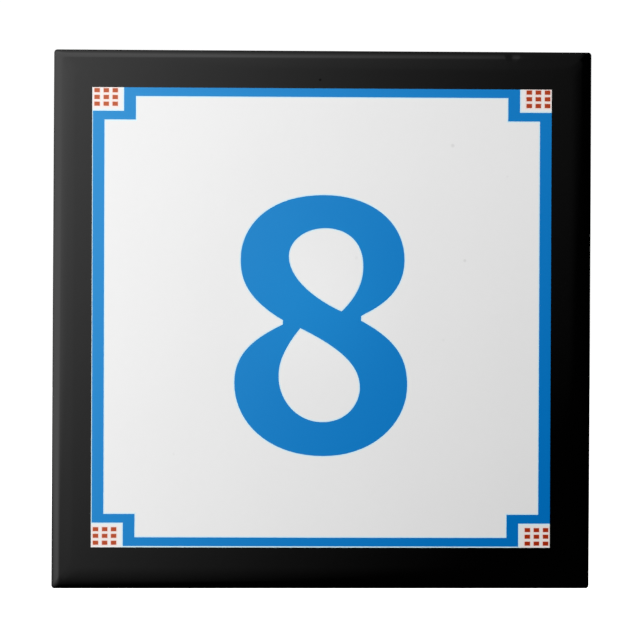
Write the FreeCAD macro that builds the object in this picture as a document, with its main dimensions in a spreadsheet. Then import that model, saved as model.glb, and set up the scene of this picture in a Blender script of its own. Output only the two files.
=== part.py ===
import FreeCAD, Part
import math
import os
import Sketcher

# House number plaque: one square glazed ceramic wall tile.
#
# Frame: +Z up, the printed face looks along -Y, +X is to the right as seen
# from the front. The back face, which is bonded to the wall, lies in the plane
# y = 0, and the origin is its centre. Millimetres.
#
# The tile is dust-pressed in one piece. Its face is flat in the middle and
# falls away over a cushion edge: a wide gentle arc, then a small arc at the
# rim, then the straight side. The cushions of neighbouring sides meet in a
# mitre at the corners, whose plan outline has a small radius. The back has a
# small broken edge, a plain land all round and a waffle of shallow keys for
# the adhesive.

doc = FreeCAD.newDocument("HouseNumberPlaque")

# ---------------------------------------------------------------- dimensions
sheet = doc.addObject("Spreadsheet::Sheet", "Dimensions")
ROWS = [
    ("tile_width", "108", "square side, the standard 4 1/4 inch tile"),
    ("tile_thickness", "6", "back face to flat of the front face"),
    ("corner_radius", "0.65", "plan radius of the four corners"),
    ("cushion_width", "4.45", "from the side to where the flat face begins"),
    ("cushion_radius", "72", "wide arc next to the flat face"),
    ("rim_radius", "2", "small arc next to the side"),
    ("back_edge", "0.4", "broken edge round the back face"),
    ("key_side", "8", "side of one shallow square key in the back"),
    ("key_rib", "1.6", "rib left between two keys"),
    ("key_depth", "0.4", "depth of a key"),
    ("key_corner", "1", "corner radius of a key"),
    ("key_taper", "20", "draft of a key's walls, degrees"),
    ("key_count", "10", "keys along each direction"),
    ("side_count", "4", "sides of the tile"),
    ("cutter_margin", "2", "how far a trimming profile reaches past the tile"),
]
sheet.set("A1", "dimension")
sheet.set("B1", "value")
sheet.set("C1", "meaning")
for row, (alias, value, meaning) in enumerate(ROWS, start=2):
    sheet.set("A%d" % row, alias)
    sheet.set("B%d" % row, value)
    sheet.setAlias("B%d" % row, alias)
    sheet.set("C%d" % row, meaning)
doc.recompute()


def dim(alias):
    """A dimension's present value, used only to draw a sketch near its solution."""
    return float(sheet.get(alias))


def origin_feature(body, role):
    for feature in body.Origin.OriginFeatures:
        if feature.Role == role:
            return feature
    raise RuntimeError("no origin feature " + role)


def new_sketch(body, name, role):
    sketch = body.newObject("Sketcher::SketchObject", name)
    sketch.AttachmentSupport = [(origin_feature(body, role), "")]
    sketch.MapMode = "FlatFace"
    return sketch


def bind(sketch, constraint, name, expression):
    """Add a driving constraint, name it and bind it to the spreadsheet."""
    index = sketch.addConstraint(constraint)
    sketch.renameConstraint(index, name)
    sketch.setExpression("Constraints." + name, expression)
    return index


def line(sketch, p, q):
    return sketch.addGeometry(
        Part.LineSegment(FreeCAD.Vector(p[0], p[1], 0), FreeCAD.Vector(q[0], q[1], 0)), False)


def arc(sketch, centre, radius, start_deg, end_deg):
    circle = Part.Circle(FreeCAD.Vector(centre[0], centre[1], 0), FreeCAD.Vector(0, 0, 1), radius)
    return sketch.addGeometry(
        Part.ArcOfCircle(circle, math.radians(start_deg), math.radians(end_deg)), False)


def check_solved(sketch):
    if sketch.solve() != 0 or sketch.FullyConstrained is False:
        raise RuntimeError("sketch %s is not fully constrained" % sketch.Name)


body = doc.addObject("PartDesign::Body", "number_tile")
body.Label = "number_tile"

W = dim("tile_width") / 2
T = dim("tile_thickness")

# -------------------------------------------------------- the pressed square
# Sketch plane XZ: local x is X, local y is Z, and its normal looks along -Y,
# so the pad grows from the back face towards the front.
blank = new_sketch(body, "TileOutline", "XZ_Plane")
g = [line(blank, (-W, -W), (W, -W)), line(blank, (W, -W), (W, W)),
     line(blank, (W, W), (-W, W)), line(blank, (-W, W), (-W, -W))]
for i in range(4):
    blank.addConstraint(Sketcher.Constraint("Coincident", g[i], 2, g[(i + 1) % 4], 1))
for i in (0, 2):
    blank.addConstraint(Sketcher.Constraint("Horizontal", g[i]))
for i in (1, 3):
    blank.addConstraint(Sketcher.Constraint("Vertical", g[i]))
blank.addConstraint(Sketcher.Constraint("Symmetric", g[0], 1, g[2], 1, -1, 1))
bind(blank, Sketcher.Constraint("DistanceX", g[0], 1, g[0], 2, 2 * W),
     "width", "Dimensions.tile_width")
bind(blank, Sketcher.Constraint("DistanceY", g[1], 1, g[1], 2, 2 * W),
     "height", "Dimensions.tile_width")
check_solved(blank)

pad = body.newObject("PartDesign::Pad", "PressedSquare")
pad.Profile = blank
pad.Length = T
pad.setExpression("Length", "Dimensions.tile_thickness")
doc.recompute()
if pad.Shape.BoundBox.YMax > 1e-6 or pad.Shape.BoundBox.YMin > -T + 1e-6:
    raise RuntimeError("the square must lie between y = -thickness and y = 0")

# ------------------------------------------------- rounded corners in plan
names = []
for i, edge in enumerate(pad.Shape.Edges, start=1):
    a, b = edge.Vertexes[0].Point, edge.Vertexes[-1].Point
    if abs(a.x - b.x) < 1e-6 and abs(a.z - b.z) < 1e-6:
        names.append("Edge%d" % i)
if len(names) != 4:
    raise RuntimeError("expected four upright corner edges")
corners = body.newObject("PartDesign::Fillet", "RoundedCorners")
corners.Base = (pad, names)
corners.Radius = dim("corner_radius")
corners.setExpression("Radius", "Dimensions.corner_radius")
doc.recompute()

# ------------------------------------------------- broken edge at the back
names = []
for i, edge in enumerate(corners.Shape.Edges, start=1):
    if all(abs(v.Point.y) < 1e-6 for v in edge.Vertexes):
        names.append("Edge%d" % i)
if len(names) != 8:
    raise RuntimeError("expected eight edges round the back face")
back_edge = body.newObject("PartDesign::Chamfer", "BackEdge")
back_edge.Base = (corners, names)
back_edge.Size = dim("back_edge")
back_edge.setExpression("Size", "Dimensions.back_edge")
doc.recompute()
volume_blank = back_edge.Shape.Volume

# ----------------------------------------------------------- cushion edge
# Sketch plane YZ: local x is Y, local y is Z. The profile is what is taken
# away along the top side: it starts on the flat face, follows the wide arc
# and the rim arc to the straight side, and closes outside the tile.
c = dim("cushion_width")
R = dim("cushion_radius")
r = dim("rim_radius")
M = dim("cutter_margin")
theta = math.degrees(math.asin((c - r) / (R - r)))
centre_wide = (-T + R, W - c)
centre_rim = (-T + R - (R - r) * math.cos(math.radians(theta)), W - r)
flat_end = (-T, W - c)
side_end = (centre_rim[0], W)

cushion = new_sketch(body, "CushionProfile", "YZ_Plane")
wide = arc(cushion, centre_wide, R, 180 - theta, 180)
rim = arc(cushion, centre_rim, r, 90, 180 - theta)
l1 = line(cushion, side_end, (side_end[0], W + M))
l2 = line(cushion, (side_end[0], W + M), (-T - M, W + M))
l3 = line(cushion, (-T - M, W + M), (-T - M, W - c))
l4 = line(cushion, (-T - M, W - c), flat_end)
cushion.addConstraint(Sketcher.Constraint("Tangent", wide, 1, rim, 2))
cushion.addConstraint(Sketcher.Constraint("Coincident", rim, 1, l1, 1))
cushion.addConstraint(Sketcher.Constraint("Coincident", l1, 2, l2, 1))
cushion.addConstraint(Sketcher.Constraint("Coincident", l2, 2, l3, 1))
cushion.addConstraint(Sketcher.Constraint("Coincident", l3, 2, l4, 1))
cushion.addConstraint(Sketcher.Constraint("Coincident", l4, 2, wide, 2))
cushion.addConstraint(Sketcher.Constraint("Vertical", l1))
cushion.addConstraint(Sketcher.Constraint("Horizontal", l2))
cushion.addConstraint(Sketcher.Constraint("Vertical", l3))
cushion.addConstraint(Sketcher.Constraint("Horizontal", l4))
cushion.addConstraint(Sketcher.Constraint("Horizontal", wide, 2, wide, 3))
cushion.addConstraint(Sketcher.Constraint("Vertical", rim, 1, rim, 3))
bind(cushion, Sketcher.Constraint("Radius", wide, R), "wide_arc", "Dimensions.cushion_radius")
bind(cushion, Sketcher.Constraint("Radius", rim, r), "rim_arc", "Dimensions.rim_radius")
bind(cushion, Sketcher.Constraint("DistanceX", wide, 2, -1, 1, T),
     "face_depth", "Dimensions.tile_thickness")
bind(cushion, Sketcher.Constraint("DistanceY", -1, 1, wide, 2, W - c),
     "flat_half_width", "Dimensions.tile_width / 2 - Dimensions.cushion_width")
bind(cushion, Sketcher.Constraint("DistanceY", -1, 1, rim, 1, W),
     "half_width", "Dimensions.tile_width / 2")
bind(cushion, Sketcher.Constraint("DistanceY", l1, 1, l1, 2, M),
     "margin_out", "Dimensions.cutter_margin")
bind(cushion, Sketcher.Constraint("DistanceX", l4, 1, l4, 2, M),
     "margin_front", "Dimensions.cutter_margin")
check_solved(cushion)

cushion_cut = body.newObject("PartDesign::Pocket", "CushionTop")
cushion_cut.Profile = cushion
cushion_cut.Type = "Length"
cushion_cut.SideType = "Symmetric"
cushion_cut.Length = 2 * (W + M)
cushion_cut.setExpression("Length", "Dimensions.tile_width + 2 * Dimensions.cutter_margin")
doc.recompute()
volume_one_side = cushion_cut.Shape.Volume

cushions = body.newObject("PartDesign::PolarPattern", "CushionEdges")
cushions.Originals = [cushion_cut]
cushions.Axis = (origin_feature(body, "Y_Axis"), [""])
cushions.Angle = 360
cushions.Occurrences = 4
cushions.setExpression("Occurrences", "Dimensions.side_count")
body.Tip = cushions
doc.recompute()
volume_cushioned = cushions.Shape.Volume

# ------------------------------------------------- shallow keys in the back
n = int(dim("key_count"))
side = dim("key_side")
pitch = side + dim("key_rib")
k = dim("key_corner")
x0 = -(n - 1) / 2 * pitch - side / 2
x1 = x0 + side

key = new_sketch(body, "KeyOutline", "XZ_Plane")
bottom = line(key, (x0 + k, x0), (x1 - k, x0))
right = line(key, (x1, x0 + k), (x1, x1 - k))
top = line(key, (x1 - k, x1), (x0 + k, x1))
left = line(key, (x0, x1 - k), (x0, x0 + k))
a_br = arc(key, (x1 - k, x0 + k), k, 270, 360)
a_tr = arc(key, (x1 - k, x1 - k), k, 0, 90)
a_tl = arc(key, (x0 + k, x1 - k), k, 90, 180)
a_bl = arc(key, (x0 + k, x0 + k), k, 180, 270)
for seg, seg_pos, bend, bend_pos in (
        (bottom, 2, a_br, 1), (right, 1, a_br, 2), (right, 2, a_tr, 1), (top, 1, a_tr, 2),
        (top, 2, a_tl, 1), (left, 1, a_tl, 2), (left, 2, a_bl, 1), (bottom, 1, a_bl, 2)):
    key.addConstraint(Sketcher.Constraint("Tangent", seg, seg_pos, bend, bend_pos))
for seg in (bottom, top):
    key.addConstraint(Sketcher.Constraint("Horizontal", seg))
for seg in (right, left):
    key.addConstraint(Sketcher.Constraint("Vertical", seg))
key.addConstraint(Sketcher.Constraint("Equal", a_br, a_tr))
key.addConstraint(Sketcher.Constraint("Equal", a_br, a_tl))
key.addConstraint(Sketcher.Constraint("Equal", a_br, a_bl))
bind(key, Sketcher.Constraint("Radius", a_br, k), "corner", "Dimensions.key_corner")
bind(key, Sketcher.Constraint("DistanceX", left, 1, right, 1, side),
     "across", "Dimensions.key_side")
bind(key, Sketcher.Constraint("DistanceY", bottom, 1, top, 1, side),
     "high", "Dimensions.key_side")
FIRST = ("(Dimensions.key_count - 1) / 2 * (Dimensions.key_side + Dimensions.key_rib)"
         " + Dimensions.key_side / 2")
bind(key, Sketcher.Constraint("DistanceX", left, 1, -1, 1, -x0), "first_x", FIRST)
bind(key, Sketcher.Constraint("DistanceY", bottom, 1, -1, 1, -x0), "first_z", FIRST)
check_solved(key)

key_cut = body.newObject("PartDesign::Pocket", "FirstKey")
key_cut.Profile = key
key_cut.Type = "Length"
key_cut.Length = dim("key_depth")
key_cut.setExpression("Length", "Dimensions.key_depth")
key_cut.TaperAngle = -dim("key_taper")
key_cut.setExpression("TaperAngle", "-Dimensions.key_taper")
# The sketch's normal looks at the front, and a pocket runs against it, out of
# the back, so this one is turned round to cut into the tile.
key_cut.Reversed = True
doc.recompute()
volume_one_key = cushions.Shape.Volume - key_cut.Shape.Volume

keys = body.newObject("PartDesign::LinearPattern", "BackKeys")
keys.Originals = [key_cut]
keys.Direction = (origin_feature(body, "X_Axis"), [""])
keys.Length = (n - 1) * pitch
keys.Occurrences = n
keys.Direction2 = (origin_feature(body, "Z_Axis"), [""])
keys.Length2 = (n - 1) * pitch
keys.Occurrences2 = n
SPAN = "(Dimensions.key_count - 1) * (Dimensions.key_side + Dimensions.key_rib)"
keys.setExpression("Length", SPAN)
keys.setExpression("Length2", SPAN)
keys.setExpression("Occurrences", "Dimensions.key_count")
keys.setExpression("Occurrences2", "Dimensions.key_count")
body.Tip = keys
doc.recompute()
volume_keyed = keys.Shape.Volume

body.Placement = FreeCAD.Placement(FreeCAD.Vector(0, 0, 0), FreeCAD.Rotation(0, 0, 0, 1))
doc.recompute()

# -------------------------------------------------------------------- checks
for obj in doc.Objects:
    if "Invalid" in obj.State or "Error" in obj.State:
        raise RuntimeError("%s failed: %s" % (obj.Name, obj.State))

one_side = volume_blank - volume_one_side
if not one_side > 0:
    raise RuntimeError("the cushion profile cut nothing")
all_sides = volume_blank - volume_cushioned
if not 3.8 * one_side < all_sides < 4.0 * one_side:
    raise RuntimeError("the cushion does not run round all four sides")
if not 0.5 * side * side * dim("key_depth") < volume_one_key < side * side * dim("key_depth"):
    raise RuntimeError("a key has the wrong volume: %.3f" % volume_one_key)
if abs(volume_cushioned - volume_keyed - n * n * volume_one_key) > 0.5:
    raise RuntimeError("the keys are not all cut")

shape = body.Shape
if shape.isNull() or not shape.isValid() or len(shape.Solids) != 1:
    raise RuntimeError("the tile is not one valid solid")
box = shape.BoundBox
print("number_tile  x %.3f..%.3f  y %.3f..%.3f  z %.3f..%.3f" % (
    box.XMin, box.XMax, box.YMin, box.YMax, box.ZMin, box.ZMax))
print("volumes mm3: square %.1f, cushioned %.1f, one key %.3f, finished %.1f" % (
    volume_blank, volume_cushioned, volume_one_key, volume_keyed))
print("faces", len(shape.Faces), "volume", round(shape.Volume, 1))

os.makedirs("parts", exist_ok=True)
shape.exportStep("parts/number_tile.step")
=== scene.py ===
"""The looks of the house number tile: one pressed, glazed and printed ceramic tile.

Blender is in metres. The mesh code works in millimetres and MM turns them into metres at the end.
Row frame: the origin is the centre of the back face, +Y points into the wall, the printed face looks along -Y, Z is up.
"""

import math

import bmesh
import bpy
from mathutils import Matrix, Vector, noise
from mathutils.geometry import delaunay_2d_cdt


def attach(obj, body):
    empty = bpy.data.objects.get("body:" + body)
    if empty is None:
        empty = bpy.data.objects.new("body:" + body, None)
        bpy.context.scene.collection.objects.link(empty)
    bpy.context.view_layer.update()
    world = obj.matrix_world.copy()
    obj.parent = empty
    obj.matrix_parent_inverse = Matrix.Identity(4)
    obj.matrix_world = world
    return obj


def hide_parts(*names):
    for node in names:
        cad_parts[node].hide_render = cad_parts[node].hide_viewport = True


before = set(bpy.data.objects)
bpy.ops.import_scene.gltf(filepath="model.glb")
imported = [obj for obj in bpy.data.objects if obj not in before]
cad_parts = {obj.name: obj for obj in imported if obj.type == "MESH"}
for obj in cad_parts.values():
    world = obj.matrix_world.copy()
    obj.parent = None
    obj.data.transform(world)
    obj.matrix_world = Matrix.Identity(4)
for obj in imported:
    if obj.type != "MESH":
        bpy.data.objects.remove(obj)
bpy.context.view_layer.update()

MM = 0.001
HALF = 54.0  # half the tile's side
FACE_Y = -6.0  # the flat printed face
CUSHION = 4.45  # width of the rounded-over edge
WIDE_R = 72.0  # the cushion's long gentle arc
RIM_R = 2.0  # the tight arc that turns into the side
CORNER = 0.65  # corner radius of the outline
SPREAD = 0.25  # how fast the corner's radius grows inwards along the mitre
SKEW = 0.00125  # the pressed tile is a hair out of square
FIT = 0.99889  # keeps its two longer corners inside the CAD tile's box
SIDE_STEPS, CORNER_STEPS = 96, 8


# ---------------------------------------------------------------- the tile's outline rings


def square_ring(half, rho, side_steps=SIDE_STEPS, corner_steps=CORNER_STEPS, centre=(0.0, 0.0)):
    """A rounded square as (x, z) points, anticlockwise from the lower right corner's end. Every ring has the same count."""
    rho = min(rho, half)
    s = half - rho
    points = []
    for quarter in range(4):
        a0 = -math.pi / 2 + quarter * math.pi / 2
        cx, cz = ((s, -s), (s, s), (-s, s), (-s, -s))[quarter]
        for k in range(corner_steps):  # the corner's arc
            a = a0 + (k / corner_steps) * math.pi / 2
            points.append((cx + rho * math.cos(a), cz + rho * math.sin(a)))
        a1 = a0 + math.pi / 2
        nx, nz = ((s, s), (-s, s), (-s, -s), (s, -s))[quarter]
        for k in range(side_steps):  # the straight run to the next corner
            t = k / side_steps
            ox, oz = rho * math.cos(a1), rho * math.sin(a1)
            points.append((cx + (nx - cx) * t + ox, cz + (nz - cz) * t + oz))
    return [(centre[0] + x, centre[1] + z) for x, z in points]


def outline_noise(x, z, scale, seed):
    return noise.noise(Vector((x * scale, z * scale, seed)))


# ---------------------------------------------------------------- the print's outlines, on the face


# The outlines below are written as they line up with the tile's rim seen from the camera. The face is nearer than the
# rim, so on it they are a little smaller about this point.
CENTRE_X, CENTRE_Z = -5.67, 0.30
SMALLER = 0.99298


def face(x, z):
    return (CENTRE_X + (x - CENTRE_X) * SMALLER, CENTRE_Z + (z - CENTRE_Z) * SMALLER)


def grown(points, by):
    """The outline moved outwards by a hair, as fired ink spreads. A negative value moves it inwards."""
    n = len(points)
    turn = sum(points[i - 1][0] * points[i][1] - points[i][0] * points[i - 1][1] for i in range(n))
    by = by if turn > 0 else -by
    moved = []
    for i in range(n):
        (x0, z0), (x, z), (x1, z1) = points[i - 1], points[i], points[(i + 1) % n]
        a, c = math.hypot(x - x0, z - z0), math.hypot(x1 - x, z1 - z)
        ux, uz, vx, vz = (z - z0) / a, (x0 - x) / a, (z1 - z) / c, (x - x1) / c
        k = by / (1 + ux * vx + uz * vz)
        moved.append((x + (ux + vx) * k, z + (uz + vz) * k))
    return moved


def loop(*points):
    return [face(x, z) for x, z in points]


def rect(x0, x1, z0, z1):
    return loop((x0, z0), (x1, z0), (x1, z1), (x0, z1))


def curve(nodes, steps=18):
    """A closed outline through (handle before, point, handle after). None stands for a straight run."""
    points = []
    for i, (_, p, out) in enumerate(nodes):
        into, q, _ = nodes[(i + 1) % len(nodes)]
        if out is None or into is None:
            points.append(p)
            continue
        for k in range(steps):
            t = k / steps
            u = 1 - t
            points.append(
                tuple(
                    u * u * u * p[c] + 3 * u * u * t * out[c] + 3 * u * t * t * into[c] + t * t * t * q[c]
                    for c in (0, 1)
                )
            )
    return loop(*points)


NUMERAL = curve(
    [
        ((9.67, 25.05), (0.33, 25.05), (-11.60, 25.05)),
        ((-16.44, 18.17), (-16.44, 12.25), (-16.44, 8.99)),
        ((-16.04, 4.67), (-7.87, -0.17), None),
        (None, (-7.91, -1.02), (-14.49, -4.19)),
        ((-17.60, -7.37), (-17.60, -12.76), (-17.60, -20.57)),
        ((-10.83, -27.47), (0.35, -27.47), (10.71, -27.47)),
        ((17.19, -20.54), (17.19, -13.30), (17.19, -7.92)),
        ((15.12, -4.12), (7.84, -0.23), None),
        (None, (7.82, 0.66), (8.25, 1.39)),
        ((16.53, 3.69), (16.53, 12.00), (16.53, 19.82)),
    ]
)
UPPER_COUNTER = curve(
    [
        ((3.76, 1.62), (3.90, 1.67), (8.23, 5.84)),
        ((8.20, 9.59), (8.20, 10.82), (8.20, 15.59)),
        ((5.06, 18.40), (0.56, 18.40), (-3.76, 18.40)),
        ((-6.78, 15.67), (-6.78, 12.75), (-6.78, 6.30)),
    ]
)
LOWER_COUNTER = curve(
    [
        ((3.39, -5.58), (-4.41, -1.73), (-8.88, -7.26)),
        ((-8.70, -10.26), (-8.70, -11.65), (-8.70, -16.06)),
        ((-5.15, -20.63), (0.10, -20.63), (5.22, -20.63)),
        ((7.63, -16.75), (7.63, -13.69), (7.63, -9.03)),
    ]
)
# where the black border stops
WINDOW = loop((-46.24, -45.87), (0.0, -45.92), (46.19, -45.945), (46.12, 46.55), (-46.44, 46.57), (-46.315, 0.0))
# The blue line frame. Where it runs under the black border it goes on past the window.
FRAME_OUT = loop(
    (-46.08, -40.91), (-39.84, -40.91), (-39.84, -45.60), (39.79, -45.71), (39.79, -41.065), (47.6, -41.065),
    (47.6, 41.86), (39.705, 41.86), (39.705, 47.6), (-40.05, 47.6), (-40.05, 41.82), (-46.28, 41.82),
)  # fmt: skip
FRAME_IN = loop(
    (-43.75, -39.16), (-37.50, -39.16), (-37.50, -43.845), (0.0, -43.918), (37.415, -43.94), (37.415, -39.27),
    (43.81, -39.27), (43.77, 40.095), (37.335, 40.095), (37.335, 44.795), (-37.67, 44.81), (-37.67, 40.085),
    (-43.945, 40.085),
)  # fmt: skip
# The white blocks in the four stepped corners, which also go on under the border.
BLOCKS = {
    "tl": rect(-48, -40.05, 41.82, 48),
    "tr": rect(39.705, 48, 41.86, 48),
    "bl": rect(-48, -39.84, -48, -40.91),
    "br": rect(39.79, 48, -48, -41.065),
}
REDS = {
    "tl": ((-45.453, -43.616, -41.822), (43.222, 44.571, 45.927), 1.02, 0.777),
    "tr": ((41.554, 43.383, 45.254), (43.226, 44.587, 45.932), 1.06, 0.79),
    "bl": ((-45.289, -43.451, -41.654), (-44.935, -43.554, -42.220), 1.02, 0.745),
    "br": ((41.635, 43.466, 45.328), (-45.083, -43.690, -42.351), 1.045, 0.752),
}
RED_RECTS = {
    corner: [
        grown(rect(x - w / 2, x + w / 2, z - h / 2, z + h / 2), 0.035)
        for z in rows
        for x in columns
    ]
    for corner, (columns, rows, w, h) in REDS.items()
}
NUMERAL = grown(NUMERAL, 0.02)
UPPER_COUNTER = grown([(x + 0.012, z - 0.010) for x, z in UPPER_COUNTER], -0.006)
LOWER_COUNTER = [(x + 0.018, z - 0.014) for x, z in LOWER_COUNTER]
FRAME_IN = grown(FRAME_IN, -0.02)
WINDOW = grown(WINDOW, -0.03)
# The dye creeps a hair into the white round it as it is fired in, which leaves a pale fringe.
BLUE_CREEP, RED_CREEP = 0.24, 0.21
NUMERAL_CREEP = grown(NUMERAL, BLUE_CREEP)
UPPER_CREEP, LOWER_CREEP = grown(UPPER_COUNTER, -BLUE_CREEP), grown(LOWER_COUNTER, -BLUE_CREEP)
FRAME_OUT_CREEP, FRAME_IN_CREEP = grown(FRAME_OUT, BLUE_CREEP), grown(FRAME_IN, -BLUE_CREEP)
RED_CREEPS = {corner: [grown(r, RED_CREEP) for r in rects] for corner, rects in RED_RECTS.items()}


def inside(p, polygon):
    x, z = p
    found = False
    for (x0, z0), (x1, z1) in zip(polygon, polygon[1:] + polygon[:1]):
        if (z0 > z) != (z1 > z) and x < x0 + (z - z0) * (x1 - x0) / (z1 - z0):
            found = not found
    return found


def region(p):
    """What is printed at a point of the flat face. A name that ends in /blue or /red is the fringe of that ink."""
    if not inside(p, WINDOW):
        return "border"
    for corner, block in BLOCKS.items():
        if inside(p, block):
            if any(inside(p, r) for r in RED_RECTS[corner]):
                return "red_" + corner
            if any(inside(p, r) for r in RED_CREEPS[corner]):
                return "block_" + corner + "/red"
            return "block_" + corner + ("/blue" if inside(p, FRAME_OUT_CREEP) else "")
    if inside(p, FRAME_OUT) and not inside(p, FRAME_IN):
        return "frame"
    if inside(p, FRAME_IN):
        if inside(p, NUMERAL) and not inside(p, UPPER_COUNTER) and not inside(p, LOWER_COUNTER):
            return "numeral"
        if not inside(p, FRAME_IN_CREEP):
            return "field/blue"
        if inside(p, NUMERAL_CREEP) and not inside(p, UPPER_CREEP) and not inside(p, LOWER_CREEP):
            return "field/blue"
        return "field"
    return ("gap_left" if p[0] < -45 else "gap_bottom") + ("/blue" if inside(p, FRAME_OUT_CREEP) else "")


# ---------------------------------------------------------------- the map that an exported texture is laid out by


class Sheet:
    """Places each printed field on its own island, so that a baked texture's colours don't run into each other."""

    FRONT = 0.62 / 119.0

    def __init__(self, u, v, mm, centre=(0.0, 0.0), stretch=1.0, widen=1.0):
        self.u, self.v, self.mm, self.centre, self.stretch, self.widen = u, v, mm, centre, stretch, widen

    def __call__(self, x, z):
        return (
            self.u + (x - self.centre[0]) * self.mm * self.widen,
            self.v + (z - self.centre[1]) * self.mm * self.stretch,
        )


SHEETS = {
    "border": Sheet(0.315, 0.315, Sheet.FRONT),
    "frame": Sheet(0.315, 0.315, Sheet.FRONT * 0.97),
    "field": Sheet(0.315, 0.315, Sheet.FRONT * 0.92),
    "numeral": Sheet(0.74, 0.53, 0.0054),
    "back": Sheet(0.817, 0.185, 0.345 / 107.4),
    "block_tl": Sheet(0.88, 0.66, 0.009, (-43.2, 44.1)),
    "block_tr": Sheet(0.95, 0.66, 0.009, (42.9, 44.1)),
    "block_bl": Sheet(0.88, 0.60, 0.009, (-43.0, -43.3)),
    "block_br": Sheet(0.95, 0.60, 0.009, (42.9, -43.4)),
    "red_tl": Sheet(0.88, 0.54, 0.010, (-43.2, 44.1)),
    "red_tr": Sheet(0.95, 0.54, 0.010, (42.9, 44.1)),
    "red_bl": Sheet(0.88, 0.48, 0.010, (-43.0, -43.3)),
    "red_br": Sheet(0.95, 0.48, 0.010, (42.9, -43.4)),
    "gap_bottom": Sheet(0.80, 0.80, 0.003, (0.0, -45.7), 20.0),
    "gap_left": Sheet(0.18, 0.80, 0.003, (-45.92, 0.0), 1.0, 60.0),
}


# ---------------------------------------------------------------- the mesh

BORDER, WHITE, BLUE, RED, EDGE, BODY, BLUE_FRINGE, RED_FRINGE = range(8)
MATERIAL_OF = {"border": BORDER, "field": WHITE, "frame": BLUE, "numeral": BLUE}


def material_index(name):
    if name.endswith("/blue"):
        return BLUE_FRINGE
    if name.endswith("/red"):
        return RED_FRINGE
    if name.startswith("red"):
        return RED
    if name.startswith(("block", "gap")):
        return WHITE
    return MATERIAL_OF[name]


class Builder:
    def __init__(self):
        self.points, self.faces = [], []

    def point(self, x, y, z):
        self.points.append((x, y, z))
        return len(self.points) - 1

    def face(self, ids, slot, uvs):
        self.faces.append((list(ids), slot, list(uvs)))

    def ring(self, places):
        return [self.point(*p) for p in places]

    def band(self, a, b, uv_a, uv_b, slot):
        """Quads between two rings of the same count, a on the face's side."""
        n = len(a)
        for i in range(n):
            j = (i + 1) % n
            self.face((a[i], b[i], b[j], a[j]), slot, (uv_a[i], uv_b[i], uv_b[j], uv_a[j]))


def flat_part(builder, ring_ids, ring_points, y, loops, name_of, sheet_of, slot_of):
    """Fills a flat convex ring with triangles that follow the given outlines."""
    verts = [Vector(p) for p in ring_points]
    n = len(verts)
    edges = [(i, (i + 1) % n) for i in range(n)]
    for points in loops:
        first = len(verts)
        verts += [Vector(p) for p in points]
        edges += [(first + i, first + (i + 1) % len(points)) for i in range(len(points))]
    out_verts, _, out_faces, orig, _, _ = delaunay_2d_cdt(verts, edges, [], 1, 1e-4)
    ids = []
    for v, sources in zip(out_verts, orig):
        from_ring = [s for s in sources if s < n]
        ids.append(ring_ids[from_ring[0]] if from_ring else builder.point(v.x, y, v.y))
    for tri in out_faces:
        corners = [out_verts[i] for i in tri]
        centre = (sum(c.x for c in corners) / 3, sum(c.y for c in corners) / 3)
        name = name_of(centre)
        if name is None:
            continue
        sheet = sheet_of(name)
        builder.face([ids[i] for i in tri], slot_of(name), [sheet(c.x, c.y) for c in corners])
    return out_verts, ids


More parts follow.
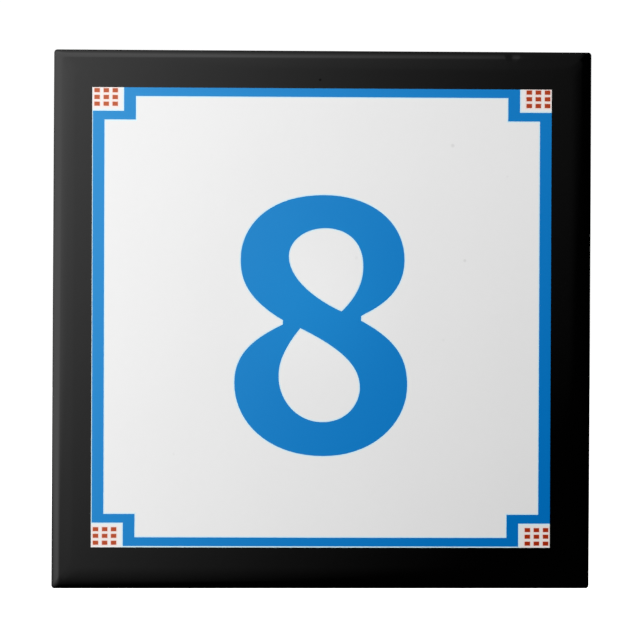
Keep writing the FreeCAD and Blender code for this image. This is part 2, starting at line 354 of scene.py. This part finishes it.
def build_tile():
    b = Builder()
    n = 4 * (SIDE_STEPS + CORNER_STEPS)

    # The profile from the flat face to the back edge: (inset, y, length unfolded so far, material)
    profile = [(CUSHION + 0.15, FACE_Y, 0.0, BORDER), (CUSHION, FACE_Y, 0.15, BORDER)]
    turn = math.asin((CUSHION - RIM_R) / (WIDE_R - RIM_R))
    for k in range(1, 7):
        a = turn * k / 6
        profile.append(
            (CUSHION - WIDE_R * math.sin(a), FACE_Y + WIDE_R * (1 - math.cos(a)), 0.15 + WIDE_R * a, BORDER)
        )
    inset0, y0, run0, _ = profile[-1]
    yc = y0 + RIM_R * math.cos(turn)
    for k in range(1, 25):
        a = turn + (math.pi / 2 - turn) * k / 24
        profile.append((RIM_R * (1 - math.sin(a)), yc - RIM_R * math.cos(a), run0 + RIM_R * (a - turn), EDGE if k > 18 else BORDER))
    rim_y, rim_run = profile[-1][1], profile[-1][2]

    def wobble(i, points, inset):
        """The pressed rim isn't dead straight: it wanders inwards by a few hundredths."""
        x, z = points[i]
        share = max(0.0, 1 - inset / 2.2)
        w = 0.5 + 0.9 * outline_noise(x, z, 0.055, 3.7) + 0.35 * outline_noise(x, z, 0.21, 9.1)
        return 0.012 * share * min(1.0, max(0.0, w))

    def place(inset, y, spread=SPREAD, drop=None):
        rho = CORNER + spread * max(0.0, inset)
        base = square_ring(HALF - inset, rho)
        places = []
        for i, (x, z) in enumerate(base):
            w = wobble(i, base, inset)
            r = max(abs(x), abs(z))
            k = (r - w) / r
            dy = drop(i, x, z) if drop else 0.0
            places.append((x * k, y + dy, z * k))
        return places

    def map_ring(inset, run):
        rho = CORNER + SPREAD * max(0.0, inset)
        half = HALF - CUSHION - 0.15 + run
        return [SHEETS["border"](x, z) for x, z in square_ring(half, rho + half - (HALF - inset))]

    def glaze_line(i, x, z):
        """How far down the side the glaze ran before it froze, around the tile."""
        return 0.42 * outline_noise(x, z, 0.045, 1.3) + 0.22 * outline_noise(x, z, 0.16, 5.9) + 0.07 * outline_noise(x, z, 0.5, 8.2)

    rings = []
    for inset, y, run, slot in profile:
        rings.append((b.ring(place(inset, y)), map_ring(inset, run), slot))
    below = -2.75
    side = [
        (0.0, -3.6, EDGE, None),
        (0.0, below - 0.22, EDGE, glaze_line),
        (0.012, below - 0.08, EDGE, glaze_line),
        (0.045, below, EDGE, glaze_line),
        (0.075, below + 0.05, BODY, glaze_line),
        (0.075, -1.4, BODY, None),
        (0.075, -0.46, BODY, None),
        (0.13, -0.30, BODY, None),
        (0.36, -0.07, BODY, None),
        (0.48, 0.0, BODY, None),
    ]
    run, last = rim_run, (0.0, rim_y)
    for inset, y, slot, drop in side:
        run += math.hypot(inset - last[0], y - last[1])
        last = (inset, y)
        rings.append((b.ring(place(inset, y, 0.0, drop)), map_ring(inset, run), slot))
    for (a, ua, _), (c, uc, slot) in zip(rings, rings[1:]):
        b.band(a, c, ua, uc, slot)

    # The printed face
    outlines = [WINDOW, FRAME_OUT, FRAME_IN, NUMERAL, UPPER_COUNTER, LOWER_COUNTER]
    outlines += list(BLOCKS.values()) + [r for group in RED_RECTS.values() for r in group]
    outlines += [NUMERAL_CREEP, UPPER_CREEP, LOWER_CREEP, FRAME_OUT_CREEP, FRAME_IN_CREEP]
    outlines += [r for group in RED_CREEPS.values() for r in group]
    front = rings[0][0]
    flat_part(
        b, front, [(b.points[i][0], b.points[i][2]) for i in front], FACE_Y, outlines,
        region, lambda name: SHEETS[name.split("/")[0]], material_index,
    )  # fmt: skip

    # The back: a land with ten by ten shallow keys pressed into it
    back = rings[-1][0]
    pitch, key_half, key_r, depth = 9.6, 4.0, 1.0, 0.4
    centres = [((i - 4.5) * pitch, (j - 4.5) * pitch) for j in range(10) for i in range(10)]
    keys = {}
    for c in centres:
        keys[c] = square_ring(key_half + 0.09, key_r + 0.09, 1, 5, c)

    def land(p):
        i, j = round(p[0] / pitch + 4.5), round(p[1] / pitch + 4.5)
        if 0 <= i <= 9 and 0 <= j <= 9:
            c = ((i - 4.5) * pitch, (j - 4.5) * pitch)
            if inside(p, keys[c]):
                return None
        return "back"

    out_verts, ids = flat_part(
        b, back, [(b.points[i][0], b.points[i][2]) for i in back], 0.0, list(keys.values()),
        land, lambda name: SHEETS["back"], lambda name: BODY,
    )  # fmt: skip
    at = {(round(v.x, 3), round(v.y, 3)): k for v, k in zip(out_verts, ids)}
    sheet = SHEETS["back"]
    wall = [(0.03, 0.03), (-0.01, 0.10), (-0.10, 0.33), (-0.16, 0.385), (-0.30, 0.40)]
    for c, outer in keys.items():
        count = len(outer)
        above = [at[(round(x, 3), round(z, 3))] for x, z in outer]
        map_above = [sheet(x, z) for x, z in outer]
        for level, (grow, down) in enumerate(wall):
            ring = square_ring(key_half + grow, key_r + max(grow, -0.6), 1, 5, c)
            here = [b.point(x, -down, z) for x, z in ring]
            shrink = 1 - 0.024 * (level + 1)  # in the map the wall gets room that it doesn't have seen flat on
            map_here = [sheet(c[0] + (x - c[0]) * shrink, c[1] + (z - c[1]) * shrink) for x, z in ring]
            for i in range(count):
                j = (i + 1) % count
                b.face((above[i], here[i], here[j], above[j]), BODY, (map_above[i], map_here[i], map_here[j], map_above[j]))
            above, map_above = here, map_here
        b.face(above, BODY, map_above)
    return b


def make_object(b):
    mesh = bpy.data.meshes.new("glazed_number_tile")
    places = [((x + z * SKEW) * FIT * MM, y * MM, (z + x * SKEW) * FIT * MM) for x, y, z in b.points]
    mesh.from_pydata(places, [], [f[0] for f in b.faces])
    layer = mesh.uv_layers.new(name="OFBake")
    mesh.polygons.foreach_set("material_index", [f[1] for f in b.faces])
    flat = [c for _, _, uvs in b.faces for uv in uvs for c in uv]
    layer.uv.foreach_set("vector", flat)
    mesh.validate(clean_customdata=False)
    mesh.update()
    bm = bmesh.new()
    bm.from_mesh(mesh)
    bmesh.ops.recalc_face_normals(bm, faces=bm.faces)
    bm.to_mesh(mesh)
    bm.free()
    mesh.shade_smooth()
    mesh.set_sharp_from_angle(angle=math.radians(38))
    obj = bpy.data.objects.new("glazed_number_tile", mesh)
    bpy.context.scene.collection.objects.link(obj)
    return obj


# ---------------------------------------------------------------- materials


class Nodes:
    """Short names for building a node tree."""

    def __init__(self, tree):
        self.tree, self.x = tree, -1400

    def node(self, kind, **settings):
        n = self.tree.nodes.new(kind)
        self.x += 30
        n.location = (self.x, 0)
        for key, value in settings.items():
            setattr(n, key, value)
        return n

    def feed(self, socket, value):
        if isinstance(value, bpy.types.NodeSocket):
            self.tree.links.new(value, socket)
        elif value is not None:
            socket.default_value = value

    def math(self, operation, a, b=None, c=None, clamp=False):
        n = self.node("ShaderNodeMath", operation=operation, use_clamp=clamp)
        for socket, value in zip(n.inputs, (a, b, c)):
            self.feed(socket, value)
        return n.outputs[0]

    def span(self, value, lo, hi, to_lo=0.0, to_hi=1.0, smooth=True):
        n = self.node("ShaderNodeMapRange", interpolation_type="SMOOTHSTEP" if smooth else "LINEAR", clamp=True)
        for socket, v in zip(n.inputs, (value, lo, hi, to_lo, to_hi)):
            self.feed(socket, v)
        return n.outputs[0]

    def mix(self, factor, a, b):
        n = self.node("ShaderNodeMix", data_type="RGBA")
        self.feed(n.inputs[0], factor)
        self.feed(n.inputs[6], a)
        self.feed(n.inputs[7], b)
        return n.outputs[2]

    def mix_value(self, factor, a, b):
        n = self.node("ShaderNodeMix", data_type="FLOAT")
        self.feed(n.inputs[0], factor)
        self.feed(n.inputs[2], a)
        self.feed(n.inputs[3], b)
        return n.outputs[0]

    def noise(self, scale, detail=2.0, rough=0.5, shift=0.0, vector=None):
        """Perlin noise in metres of the tile: scale is features per metre."""
        v = vector or self.where()
        if shift:
            move = self.node("ShaderNodeVectorMath", operation="ADD")
            self.feed(move.inputs[0], v)
            move.inputs[1].default_value = (shift, shift * 0.7, -shift)
            v = move.outputs[0]
        n = self.node("ShaderNodeTexNoise")
        self.feed(n.inputs["Vector"], v)
        n.inputs["Scale"].default_value = scale
        n.inputs["Detail"].default_value = detail
        n.inputs["Roughness"].default_value = rough
        return n.outputs[0]

    def where(self):
        if not hasattr(self, "_where"):
            self._where = self.node("ShaderNodeTexCoord").outputs["Object"]
        return self._where

    def parts(self):
        if not hasattr(self, "_parts"):
            n = self.node("ShaderNodeSeparateXYZ")
            self.feed(n.inputs[0], self.where())
            self._parts = n.outputs
        return self._parts

    def ramp(self, value, stops, mode="LINEAR"):
        n = self.node("ShaderNodeValToRGB")
        n.color_ramp.interpolation = mode
        elements = n.color_ramp.elements
        while len(elements) > 1:
            elements.remove(elements[-1])
        for i, (at, level) in enumerate(stops):
            e = elements[0] if i == 0 else elements.new(at)
            e.position = at
            e.color = (level, level, level, 1)
        self.feed(n.inputs[0], value)
        return n.outputs[0]

    def distance_to(self, x, z, y=FACE_Y):
        """Metres from a place on the face, given in millimetres."""
        n = self.node("ShaderNodeVectorMath", operation="DISTANCE")
        self.feed(n.inputs[0], self.where())
        n.inputs[1].default_value = (x * MM, y * MM, z * MM)
        return n.outputs["Value"]

    def bumps(self, *layers):
        """Stacks (height, metres) as one normal."""
        normal = None
        for height, metres in layers:
            n = self.node("ShaderNodeBump")
            n.inputs["Strength"].default_value = 1.0
            n.inputs["Distance"].default_value = metres
            self.feed(n.inputs["Height"], height)
            if normal is not None:
                self.feed(n.inputs["Normal"], normal)
            normal = n.outputs[0]
        return normal


def new_material(name):
    m = bpy.data.materials.new(name)
    m.use_nodes = True
    m.node_tree.nodes.clear()
    k = Nodes(m.node_tree)
    out = k.node("ShaderNodeOutputMaterial")
    shader = k.node("ShaderNodeBsdfPrincipled")
    m.node_tree.links.new(shader.outputs[0], out.inputs["Surface"])
    return m, k, shader


def scaled(colour, by):
    return tuple(c * by for c in colour[:3]) + (1.0,)


def glaze_surface(k, shader, rough=(0.045, 0.085), dents=()):
    """The skin that all the fired colours share: glassy, with a faint orange peel and slow waves."""
    shader.inputs["IOR"].default_value = 1.5
    patch = k.noise(38.0, 3.0, 0.55, shift=0.31)
    k.feed(shader.inputs["Roughness"], k.span(patch, 0.3, 0.7, rough[0], rough[1]))
    peel = k.noise(620.0, 2.0, 0.5)
    wave = k.noise(95.0, 1.0, 0.4, shift=0.17)
    k.feed(shader.inputs["Normal"], k.bumps((wave, 6.0e-6), (peel, 1.6e-6), *dents))


def mottled(k, colour, by, scale=55.0, shift=0.0):
    """A fired colour that is a little denser here and thinner there."""
    slow = k.noise(scale, 4.0, 0.6, shift=shift)
    fine = k.noise(scale * 22, 2.0, 0.6, shift=shift + 0.4)
    both = k.math("MULTIPLY_ADD", fine, 0.3, k.math("MULTIPLY", slow, 0.7))
    return k.mix(k.span(both, 0.34, 0.66), scaled(colour, 1 - by), scaled(colour, 1 + by))


WHITE_GLAZE = (0.880, 0.880, 0.880)
BLACK_GLAZE = (0.0003, 0.0003, 0.0003)
# Lit and shaded copies of the blue and red inks, the ends of the painted shade; the shaded ones are also the deeper
# tone of random patches
BLUE_LIT = (0.0055, 0.270, 0.645, 1.0)
BLUE_DEEP_AND_SHADED = (0.0003, 0.172, 0.562, 1.0)
RED_LIT = (0.535, 0.105, 0.026, 1.0)
RED_DEEP_AND_SHADED = (0.422, 0.028, 0.004, 1.0)
BLUE_PALE = (0.675, 0.890, 0.970, 1.0)
RED_PALE = (0.930, 0.760, 0.715, 1.0)
BISQUE = (0.735, 0.690, 0.610)


def make_border():
    m, k, s = new_material("black_print")
    k.feed(s.inputs["Base Color"], mottled(k, BLACK_GLAZE, 0.25, 40.0))
    # A shallow dent in the rim, near its upper right corner, where the glaze drew back a little
    dent = k.span(k.distance_to(37.85, 52.98, -5.67), 0.0, 1.7 * MM)
    glaze_surface(k, s, dents=((dent, 1.45e-5),))
    # One pinhole in the glaze, which doesn't shine
    k.feed(s.inputs["Specular IOR Level"], k.span(k.distance_to(-0.65, 47.87), 0.08 * MM, 0.34 * MM, 0.1, 0.5))
    return m


def painted_light_and_shade(k):
    """Painted light and shade: the colour is made a few hundredths brighter at the middle of the tile than at two of
    the corners.
    """
    x, _, z = k.parts()
    # painted light, brightest at the middle of the tile
    painted_centre_light = k.span(k.distance_to(-1.5, 3.5), 0.0, 21.0 * MM, 0.038, 0.0)
    level = k.math("ADD", painted_centre_light, 0.996)
    level = k.math("MULTIPLY_ADD", k.math("MULTIPLY", x, z), 10.8, level)
    level = k.math("MULTIPLY_ADD", k.math("MULTIPLY", z, z), -4.6, level)
    return k.math("MULTIPLY_ADD", k.math("MULTIPLY", x, x), -2.6, level)


def dimmed(k, colour, level):
    """The colour times a value."""
    n = k.node("ShaderNodeVectorMath", operation="SCALE")
    k.feed(n.inputs[0], colour)
    k.feed(n.inputs["Scale"], level)
    return n.outputs[0]


def make_white():
    m, k, s = new_material("white_glaze")
    # The white carries painted light at the middle and painted shade towards two corners
    colour = dimmed(k, mottled(k, WHITE_GLAZE, 0.006, 30.0, shift=0.2), painted_light_and_shade(k))
    # A few soft grey marks under the glaze, and one or two fainter ones
    marks = ((25.92, 34.89, 0.42, 0.15), (28.44, 11.91, 0.36, 0.14), (6.76, 12.37, 0.36, 0.06),
             (24.21, -4.01, 0.32, 0.05), (-29.54, -26.94, 0.30, 0.05), (36.89, 28.73, 0.30, 0.05))  # fmt: skip
    for x, z, r, depth in marks:
        spot = k.span(k.distance_to(x, z), r * 0.35 * MM, r * 1.25 * MM, depth, 0.0)
        colour = k.mix(spot, colour, (0.12, 0.115, 0.11, 1))
    k.feed(s.inputs["Base Color"], colour)
    glaze_surface(k, s)
    return m


def print_with_painted_shade(k, shaded_end, lit_end):
    """Painted shade: the ink's colour runs from a lit colour at the upper left to a shaded one at the lower right, with
    painted light at the middle, and it also takes the glaze's painted light and shade.
    """
    x, _, z = k.parts()
    painted_centre_light = k.span(k.distance_to(-1.5, 3.5), 0.0, 21.0 * MM, 0.054, 0.0)
    painted_light = k.math("MULTIPLY_ADD", x, -2.7, k.math("MULTIPLY_ADD", z, 1.5, painted_centre_light))
    painted_light = k.math("MULTIPLY_ADD", k.math("MULTIPLY", z, z), -7.0, painted_light)
    return dimmed(k, k.mix(k.span(painted_light, -0.2, 0.2, smooth=False), shaded_end, lit_end), painted_light_and_shade(k))


def make_blue():
    m, k, s = new_material("blue_print")
    slow = k.noise(48.0, 4.0, 0.6, shift=0.6)
    # painted shade: the blue is lighter at the upper left and darker at the lower right
    colour = print_with_painted_shade(k, BLUE_DEEP_AND_SHADED, BLUE_LIT)
    k.feed(s.inputs["Base Color"], k.mix(k.span(slow, 0.34, 0.66, 0.0, 0.06), colour, BLUE_DEEP_AND_SHADED))
    glaze_surface(k, s)
    return m


def make_red():
    m, k, s = new_material("red_print")
    uneven = k.noise(700.0, 2.0, 0.5, shift=0.9)
    # painted shade: the red is lighter at the upper left and darker at the lower right
    colour = print_with_painted_shade(k, RED_DEEP_AND_SHADED, RED_LIT)
    k.feed(s.inputs["Base Color"], k.mix(k.span(uneven, 0.35, 0.65, 0.0, 0.22), colour, RED_DEEP_AND_SHADED))
    glaze_surface(k, s)
    return m


def make_fringe(name, colour):
    m, _, s = new_material(name)
    s.inputs["Base Color"].default_value = colour
    s.inputs["Roughness"].default_value = 0.065
    s.inputs["IOR"].default_value = 1.5
    return m


def make_edge():
    """The side under the rim: the black print thins out over bare white glaze."""
    m, k, s = new_material("edge_glaze")
    y = k.parts()[1]
    ragged = k.noise(170.0, 4.0, 0.6, shift=0.11)
    grain = k.noise(2600.0, 2.0, 0.6)
    start = k.math("MULTIPLY_ADD", ragged, 0.9 * MM, k.math("MULTIPLY_ADD", grain, 0.35 * MM, -4.0 * MM))
    bare = k.span(k.math("SUBTRACT", y, start), -0.05 * MM, 0.16 * MM)
    white = mottled(k, (0.80, 0.79, 0.765), 0.03, 120.0, shift=0.5)
    k.feed(s.inputs["Base Color"], k.mix(bare, scaled(BLACK_GLAZE, 1), white))
    s.inputs["IOR"].default_value = 1.5
    k.feed(s.inputs["Roughness"], k.span(k.noise(240.0, 3.0, 0.5, shift=0.8), 0.3, 0.7, 0.07, 0.16))
    k.feed(s.inputs["Normal"], k.bumps((k.noise(300.0, 2.0, 0.5), 1.2e-5), (k.noise(1100.0, 2.0, 0.5), 3.0e-6)))
    return m


def make_body():
    """The bare pressed and fired clay of the sides and the back."""
    m, k, s = new_material("bisque_body")
    cloud = k.noise(22.0, 4.0, 0.6, shift=0.35)
    colour = k.mix(k.span(cloud, 0.32, 0.68), scaled(BISQUE, 0.93), scaled(BISQUE, 1.05))
    grain = k.noise(1500.0, 3.0, 0.65)
    colour = k.mix(k.span(grain, 0.56, 0.74, 0.0, 0.35), colour, scaled(BISQUE, 0.74))
    speck = k.noise(2400.0, 1.0, 0.5, shift=0.77)
    colour = k.mix(k.span(speck, 0.735, 0.775, 0.0, 0.7), colour, (0.16, 0.10, 0.06, 1))
    # The raised ribs rub on the kiln's rollers and pick up a greyer tone
    y = k.parts()[1]
    rubbed = k.math("MULTIPLY", k.span(y, -0.06 * MM, -0.01 * MM), k.span(k.noise(70.0, 4.0, 0.65, shift=0.22), 0.42, 0.66, 0.0, 0.5))
    colour = k.mix(rubbed, colour, (0.42, 0.39, 0.35, 1))
    k.feed(s.inputs["Base Color"], colour)
    k.feed(s.inputs["Roughness"], k.span(grain, 0.3, 0.7, 0.78, 0.94))
    pore = k.noise(1900.0, 3.0, 0.6, shift=0.5)
    k.feed(s.inputs["Normal"], k.bumps((k.noise(420.0, 3.0, 0.6), 3.0e-5), (pore, 2.2e-5)))
    s.inputs["IOR"].default_value = 1.5
    s.inputs["Specular IOR Level"].default_value = 0.35
    return m


tile = make_object(build_tile())
for material in (
    make_border(), make_white(), make_blue(), make_red(), make_edge(), make_body(),
    make_fringe("blue_fringe", BLUE_PALE), make_fringe("red_fringe", RED_PALE),
):  # fmt: skip
    tile.data.materials.append(material)
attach(tile, "root")
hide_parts("number_tile")

# ---------------------------------------------------------------- floor, light and camera


def make_floor():
    z = -0.12
    half, shaded_end = 3.0, 0.01
    corners = [(x, y, w) for w in (z - shaded_end, z) for x, y in ((-half, -half), (half, -half), (half, half), (-half, half))]
    faces = [(3, 2, 1, 0), (4, 5, 6, 7), (0, 1, 5, 4), (1, 2, 6, 5), (2, 3, 7, 6), (3, 0, 4, 7)]
    mesh = bpy.data.meshes.new("studio_floor")
    mesh.from_pydata(corners, [], faces)
    floor = bpy.data.objects.new("studio_floor", mesh)
    bpy.context.scene.collection.objects.link(floor)
    m = bpy.data.materials.new("studio_white")
    m.use_nodes = True
    m.node_tree.nodes.clear()
    k = Nodes(m.node_tree)
    out = k.node("ShaderNodeOutputMaterial")
    s = k.node("ShaderNodeBsdfPrincipled")
    m.node_tree.links.new(s.outputs[0], out.inputs["Surface"])
    s.inputs["Base Color"].default_value = (0.9, 0.9, 0.9, 1)
    s.inputs["Roughness"].default_value = 0.9
    s.inputs["Emission Color"].default_value = (1, 1, 1, 1)
    s.inputs["Emission Strength"].default_value = 1.0
    mesh.materials.append(m)
    floor.visible_glossy = False
    floor.visible_diffuse = False
    return floor


def area(name, place, target, size, watts, glossy=False):
    light = bpy.data.lights.new(name, "AREA")
    light.shape = "DISK"
    light.size = size
    light.energy = watts
    obj = bpy.data.objects.new(name, light)
    bpy.context.scene.collection.objects.link(obj)
    place, target = Vector(place), Vector(target)
    obj.matrix_world = Matrix.Translation(place) @ (target - place).to_track_quat("-Z", "Y").to_matrix().to_4x4()
    obj.visible_glossy = glossy
    obj.visible_camera = False
    return obj


def make_world():
    """A white studio. Glossy rays see one big soft box up and to the left that fades into a dark room to the right."""
    world = bpy.data.worlds.new("studio")
    bpy.context.scene.world = world
    world.use_nodes = True
    world.node_tree.nodes.clear()
    world.cycles.sampling_method = "NONE"
    k = Nodes(world.node_tree)
    out = k.node("ShaderNodeOutputWorld")
    way = k.node("ShaderNodeTexCoord").outputs["Generated"]
    n = k.node("ShaderNodeSeparateXYZ")
    k.feed(n.inputs[0], way)
    x, y, z = n.outputs

    # The room that the flat face mirrors: a smooth fall-off from upper left to lower right, as display levels
    xc = k.math("MINIMUM", k.math("MAXIMUM", x, -0.13), 0.17)
    zc = k.math("MINIMUM", k.math("MAXIMUM", z, -0.13), 0.14)
    level = k.math("MULTIPLY_ADD", xc, -175.6, 28.7)
    level = k.math("MULTIPLY_ADD", zc, 93.4, level)
    level = k.math("MULTIPLY_ADD", k.math("MULTIPLY", xc, xc), 148.0, level)
    level = k.math("MULTIPLY_ADD", k.math("MULTIPLY", xc, zc), -56.7, level)
    level = k.math("MULTIPLY_ADD", k.math("MULTIPLY", zc, zc), -93.2, level)
    level = k.math("MULTIPLY_ADD", k.math("MAXIMUM", k.math("SUBTRACT", x, 0.17), 0.0), -190.0, level)
    below = k.math("MAXIMUM", k.math("SUBTRACT", -0.13, z), 0.0)
    steep = k.math("MULTIPLY_ADD", level, -2.9, -75.0)
    level = k.math("MULTIPLY_ADD", k.math("MINIMUM", below, 0.08), steep, level)
    level = k.math("MULTIPLY_ADD", below, -19.0, level)
    level = k.math("MAXIMUM", k.math("DIVIDE", level, 255.0), 0.0)
    curved = k.math("POWER", k.math("DIVIDE", k.math("ADD", level, 0.055), 1.055), 2.4)
    straight = k.math("DIVIDE", level, 12.92)
    room = k.mix_value(k.math("GREATER_THAN", level, 0.04045), straight, curved)
    room = k.math("MULTIPLY", k.math("DIVIDE", room, 0.04), k.span(y, -0.55, -0.08, 1.0, 0.0))

    # The soft box, which only the rounded rim mirrors in the photograph's view. sideways and upwards are angles from
    # straight ahead to the left and up, and about is the angle round that axis (0 is up, 90 is left).
    ahead = k.math("MULTIPLY", y, -1.0)
    leftwards = k.math("MULTIPLY", x, -1.0)
    sideways = k.math("DIVIDE", k.math("ARCTAN2", leftwards, ahead), math.pi)
    upwards = k.math("DIVIDE", k.math("ARCTAN2", z, ahead), math.pi)
    about = k.math("MULTIPLY_ADD", k.math("ARCTAN2", leftwards, z), 0.5 / math.pi, 0.5)

    def at_angle(angle, stops, scale):
        """A value that changes with an angle: stops are (degrees, value)."""
        return k.math("MULTIPLY", k.ramp(angle, [(d / 180.0, v / scale) for d, v in stops]), scale)

    z_in = k.math("MINIMUM", k.math("MAXIMUM", z, -0.14), 0.14)
    base = at_angle(sideways, [
        (0, 0), (7.0, 0), (7.6, 0.80), (9, 0.93), (11, 1.15), (17, 1.27), (23, 1.43), (29, 1.63), (35, 1.85),
        (41, 2.08), (47, 2.3), (54, 2.55), (60, 2.5), (67, 2.5), (75, 2.4), (82, 2.1), (91, 1.7), (100, 1.4),
        (110, 1.1), (125, 0.6), (140, 0.2), (155, 0),
    ], 3.0)  # fmt: skip
    tilt = at_angle(sideways, [
        (0, 0), (7.0, 0), (7.6, 3.2), (11, 3.5), (17, 3.8), (23, 3.5), (29, 3.4), (35, 3.4), (41, 4.2), (47, 5.8),
        (54, 8.6), (60, 8.5), (67, 9), (75, 9), (82, 8), (91, 6.4), (100, 6), (110, 5.4), (125, 3), (140, 1), (155, 0),
    ], 10.0)  # fmt: skip
    most = at_angle(sideways, [
        (0, 0), (7.0, 0), (7.6, 1.35), (11, 1.52), (17, 1.65), (23, 1.70), (29, 1.75), (47, 1.77), (54, 1.75),
        (60, 1.70), (67, 1.64), (75, 1.57), (82, 1.46), (91, 1.30), (100, 1.08), (110, 0.83), (125, 0.42),
        (140, 0.12), (155, 0),
    ], 2.0)  # fmt: skip
    left = k.math("MAXIMUM", k.math("MINIMUM", k.math("MULTIPLY_ADD", z_in, tilt, base), most), 0.0)

    across = k.span(x, -0.2, 0.2, smooth=False)
    brightness = [
        (-0.2, 2.7), (-0.111, 2.4), (-0.079, 2.08), (-0.046, 1.76), (-0.013, 1.48), (0.020, 1.15), (0.053, 0.91),
        (0.086, 0.70), (0.118, 0.54), (0.1225, 0.42), (0.1275, 0.08), (0.132, 0),
    ]  # fmt: skip
    top = k.math("MULTIPLY", k.ramp(across, [((v + 0.2) / 0.4, level / 3.0) for v, level in brightness]), 3.0)
    top = k.math("MULTIPLY", top, at_angle(upwards, [
        (0, 0), (8.0, 0), (8.7, 0.41), (10, 0.435), (12, 0.47), (17, 0.505), (22, 0.59), (28, 0.77), (34, 0.97),
        (40, 1.06), (46, 1.04), (52, 0.96), (59, 0.86), (66, 0.745), (74, 0.60), (81, 0.465), (90, 0.35),
        (98, 0.27), (108, 0.19), (122, 0.10), (140, 0.02), (155, 0),
    ], 2.0))  # fmt: skip
    # Past the soft box's right end the rim mirrors the same grey as the flat face
    rest = k.math("MULTIPLY", k.ramp(across, [(0.0, 0.0), (0.72, 0.0), (0.80, 1.06), (0.92, 0.64), (0.96, 0.25), (1.0, 0.0)]), at_angle(upwards, [
        (0, 0), (8.0, 0), (8.7, 0.195), (60, 0.19), (90, 0.16), (108, 0.12), (122, 0.085), (140, 0.047), (155, 0),
    ], 1.0))  # fmt: skip
    top = k.math("MAXIMUM", k.math("MINIMUM", top, 1.745), rest)

    def turned(stops):
        return k.ramp(about, [((d + 180.0) / 360.0, v) for d, v in stops])

    left_share = turned([(-180, 0), (22, 0), (48, 1), (98, 1), (108, 0.9), (125, 0.5), (150, 0.12), (170, 0)])
    top_share = turned([(-180, 0), (-60, 0), (-40, 1), (22, 1), (48, 0)])
    box = k.math("ADD", k.math("MULTIPLY", left, left_share), k.math("MULTIPLY", top, top_share))
    mirror = k.math("MAXIMUM", room, box)

    # Plain even fill for everything matt, a little brighter behind the tile than in front of it
    fill = k.span(y, -0.25, 0.25, 0.13, 0.44)
    rays = k.node("ShaderNodeLightPath").outputs
    value = k.mix_value(rays["Is Glossy Ray"], fill, mirror)
    value = k.mix_value(rays["Is Camera Ray"], value, 1.05)
    background = k.node("ShaderNodeBackground")
    k.feed(background.inputs["Color"], (1, 1, 1, 1))
    k.feed(background.inputs["Strength"], value)
    world.node_tree.links.new(background.outputs[0], out.inputs["Surface"])


make_floor()
make_world()
area("key", (-0.45, -0.456, 0.25), (0, -0.006, 0), 0.30, 5.80)
area("back_light", (0.42, 0.40, 0.45), (0, 0, 0), 0.35, 3.2)

camera_data = bpy.data.cameras.new("camera")
camera_data.lens = 100.941
camera_data.sensor_width = 36.0
camera_data.clip_start = 0.01
camera = bpy.data.objects.new("camera", camera_data)
bpy.context.scene.collection.objects.link(camera)
forward = Vector((0.020797, 1.0, 0.000989)).normalized()
right = Vector((1.0, -0.020797, 0.00425))
right = (right - forward * right.dot(forward)).normalized()
up = right.cross(forward)
camera.matrix_world = Matrix(
    (
        (right.x, up.x, -forward.x, -7.573 * MM),
        (right.y, up.y, -forward.y, -366.45 * MM),
        (right.z, up.z, -forward.z, -0.841 * MM),
        (0, 0, 0, 1),
    )
)
bpy.context.scene.camera = camera
bpy.context.scene.view_settings.view_transform = "Standard"
bpy.context.scene.view_settings.look = "None"
